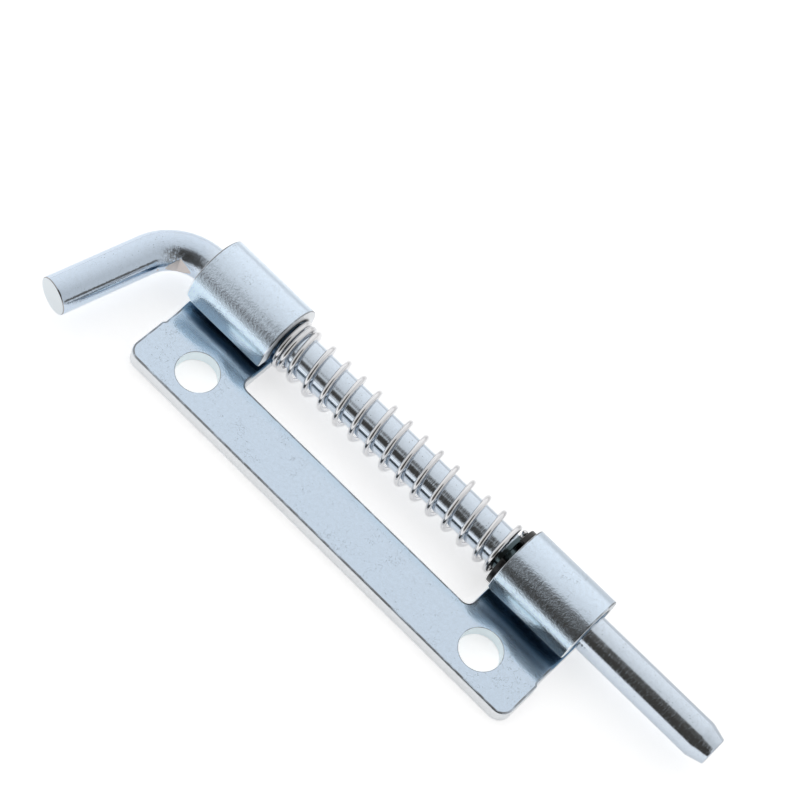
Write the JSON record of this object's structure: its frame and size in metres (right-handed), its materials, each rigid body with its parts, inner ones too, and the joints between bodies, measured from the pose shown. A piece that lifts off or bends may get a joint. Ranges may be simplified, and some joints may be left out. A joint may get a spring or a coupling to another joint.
{
  "type": "spring loaded gate latch",
  "caption": "Spring bolt latch: a bent-handled rod slides and turns in two knuckles rolled from a flat stamped plate, pushed out by a compression spring against a retaining clip.",
  "frame": {"origin": "midway between the two fixing holes, on the back face of the plate", "axes": "+X along the rod toward its tip, +Y across the plate from the fixing holes toward the rod, +Z out of the back face toward the knuckles' crown"},
  "size_m": [0.1141, 0.0277, 0.0114],
  "materials": {
    "zinc_sheet": "bright blue-white zinc plating over stamped sheet steel",
    "zinc_rod": "satin zinc plating over drawn round bar",
    "spring_wire": "bright zinc plated drawn wire",
    "black_clip": "black oxide on spring steel, slightly oily"
  },
  "bodies": {
    "plate": {"plate_with_knuckles": "zinc_sheet", "return_spring": "spring_wire"},
    "clip": {"retaining_clip": "black_clip"},
    "bolt": {"bolt_rod": "zinc_rod"}
  },
  "joints": [
    {"name": "bolt_slide", "type": "slide", "parent": "plate", "child": "clip", "axis": [-1, 0, 0], "range_m": [0, 0.026], "stiffness_N_per_m": 1100, "springref_m": -0.01, "deforming": ["return_spring"]},
    {"name": "bolt_turn", "type": "hinge", "parent": "clip", "child": "bolt", "pos_m": [0, 0.01225, 0.0057], "axis": [1, 0, 0], "continuous": true}
  ]
}
